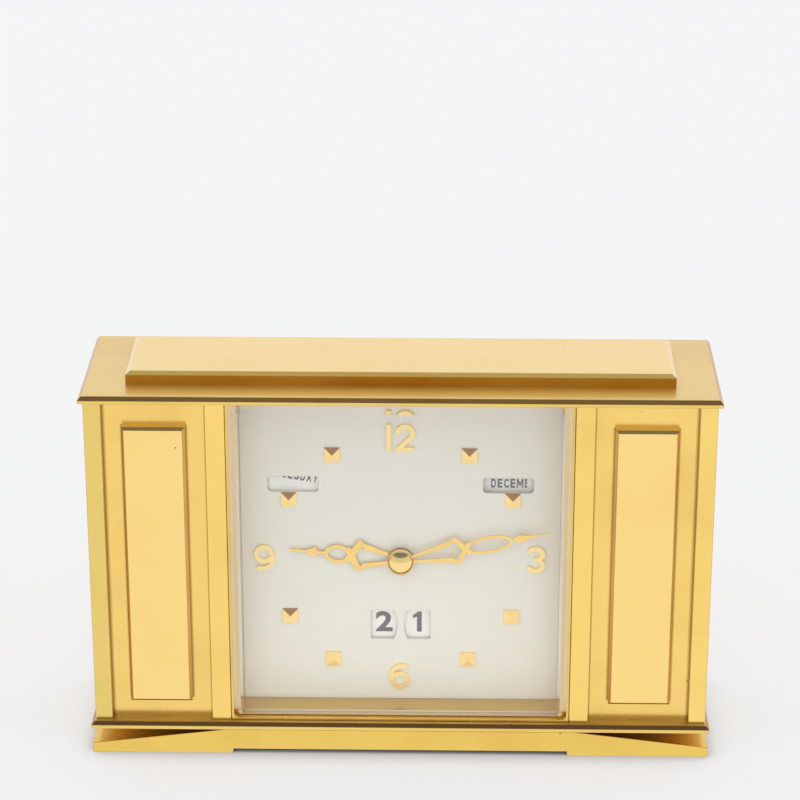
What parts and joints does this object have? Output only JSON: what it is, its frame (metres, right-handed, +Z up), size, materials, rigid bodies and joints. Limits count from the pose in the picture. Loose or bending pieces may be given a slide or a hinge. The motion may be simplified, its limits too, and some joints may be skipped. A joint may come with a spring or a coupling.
{
  "type": "desk clock",
  "caption": "Rectangular brass desk clock with a bevelled window, pierced hands, calendar windows, panelled sides, a tapered foot, and setting knobs and a battery door at the back.",
  "frame": {"origin": "middle of the foot's underside, at the level of the surface that it stands on", "axes": "+X to the right seen from the front, +Y towards the back, +Z up"},
  "size_m": [0.203, 0.056, 0.1304],
  "materials": {
    "case_brass": "satin-brushed yellow brass under clear lacquer, darker at worn edges",
    "cover_brass": "plain satin brass sheet",
    "liner_brass": "polished brass",
    "window_glass": "clear polished glass with a bevelled edge",
    "dial_cream": "cream-silver satin lacquer",
    "gilt": "bright gilt",
    "disc_white": "printed white sheet",
    "movement_brass": "brushed brass",
    "knob_brass": "fluted brass",
    "screw_steel": "plain steel",
    "arbor_steel": "polished steel",
    "coil_copper": "enamelled copper wire",
    "cell_sleeve": "plain dark sleeve",
    "holder_black": "moulded black plastic",
    "contact_nickel": "nickel-plated spring sheet"
  },
  "bodies": {
    "case": {"base_foot": "case_brass", "base_plate": "case_brass", "top_plate": "case_brass", "top_slab": "case_brass", "left_front_panel": "case_brass", "right_front_panel": "case_brass", "left_outer_strip": "case_brass", "left_inner_strip": "case_brass", "right_inner_strip": "case_brass", "right_outer_strip": "case_brass", "left_raised_block": "case_brass", "right_raised_block": "case_brass", "left_side_plate": "case_brass", "right_side_plate": "case_brass", "window_bezel": "case_brass", "rear_cover": "cover_brass", "shadow_box": "liner_brass", "bevelled_glass": "window_glass", "dial": "dial_cream", "hour_markers": "gilt", "hour_numerals": "gilt", "movement_front_plate": "movement_brass", "movement_rear_plate": "movement_brass", "movement_pillars": "movement_brass", "dial_posts": "movement_brass", "rear_spacers": "movement_brass", "foot_screws": "screw_steel", "slab_screws": "screw_steel", "tie_rod_screws": "screw_steel", "block_screws": "screw_steel", "rear_cover_screws": "screw_steel", "movement_screws": "screw_steel", "hinge_pin": "screw_steel", "tie_rods": "screw_steel", "hairspring": "arbor_steel", "drive_coil": "coil_copper", "battery": "cell_sleeve", "battery_holder": "holder_black", "battery_contacts": "contact_nickel"},
    "minute_train": {"minute_arbor": "arbor_steel", "centre_wheel": "movement_brass", "minute_hand": "gilt", "hub_cap": "gilt", "hand_setting_knob": "knob_brass"},
    "hour_train": {"hour_wheel": "movement_brass", "hour_hand": "gilt"},
    "minute_wheel_set": {"minute_wheel": "movement_brass"},
    "third_wheel_set": {"third_wheel": "movement_brass"},
    "index_wheel_set": {"index_wheel": "movement_brass"},
    "balance": {"balance_wheel": "movement_brass", "balance_staff": "arbor_steel"},
    "day_calendar": {"day_disc": "disc_white", "day_knob": "knob_brass"},
    "month_calendar": {"month_disc": "disc_white", "month_knob": "knob_brass"},
    "date_tens_calendar": {"date_tens_disc": "disc_white", "date_tens_knob": "knob_brass"},
    "date_units_calendar": {"date_units_disc": "disc_white", "date_units_knob": "knob_brass"},
    "door": {"battery_door": "cover_brass"}
  },
  "joints": [
    {"name": "minute_hand_turn", "type": "hinge", "parent": "case", "child": "minute_train", "pos_m": [0, 0, 0.06385], "axis": [0, 1, 0], "continuous": true},
    {"name": "hour_hand_turn", "type": "hinge", "parent": "case", "child": "hour_train", "pos_m": [0, 0, 0.06385], "axis": [0, 1, 0], "continuous": true},
    {"name": "minute_wheel_turn", "type": "hinge", "parent": "case", "child": "minute_wheel_set", "pos_m": [0, 0, 0.05185], "axis": [0, 1, 0], "continuous": true},
    {"name": "third_wheel_turn", "type": "hinge", "parent": "case", "child": "third_wheel_set", "pos_m": [0, 0, 0.0796], "axis": [0, 1, 0], "continuous": true},
    {"name": "index_wheel_turn", "type": "hinge", "parent": "case", "child": "index_wheel_set", "pos_m": [0, 0, 0.0936], "axis": [0, 1, 0], "continuous": true},
    {"name": "balance_swing", "type": "hinge", "parent": "case", "child": "balance", "pos_m": [0, 0, 0.10305], "axis": [0, 1, 0], "range_deg": [-135, 135], "stiffness_Nm_per_rad": 0.00002},
    {"name": "day_disc_turn", "type": "hinge", "parent": "case", "child": "day_calendar", "pos_m": [-0.0205, 0, 0.09], "axis": [0, 1, 0], "continuous": true},
    {"name": "month_disc_turn", "type": "hinge", "parent": "case", "child": "month_calendar", "pos_m": [0.0205, 0, 0.09], "axis": [0, 1, 0], "continuous": true},
    {"name": "date_tens_turn", "type": "hinge", "parent": "case", "child": "date_tens_calendar", "pos_m": [-0.0205, 0, 0.03985], "axis": [0, 1, 0], "continuous": true},
    {"name": "date_units_turn", "type": "hinge", "parent": "case", "child": "date_units_calendar", "pos_m": [0.0205, 0, 0.03985], "axis": [0, 1, 0], "continuous": true},
    {"name": "battery_door_swing", "type": "hinge", "parent": "case", "child": "door", "pos_m": [0.07815, 0.0175, 0.0337], "axis": [-1, 0, 0], "range_deg": [0, 95]}
  ],
  "couplings": [
    {"joint": "hour_hand_turn", "follows": "minute_hand_turn", "ratio": 0.083333},
    {"joint": "minute_wheel_turn", "follows": "minute_hand_turn", "ratio": -0.33333},
    {"joint": "third_wheel_turn", "follows": "minute_hand_turn", "ratio": -6},
    {"joint": "index_wheel_turn", "follows": "minute_hand_turn", "ratio": 36}
  ]
}
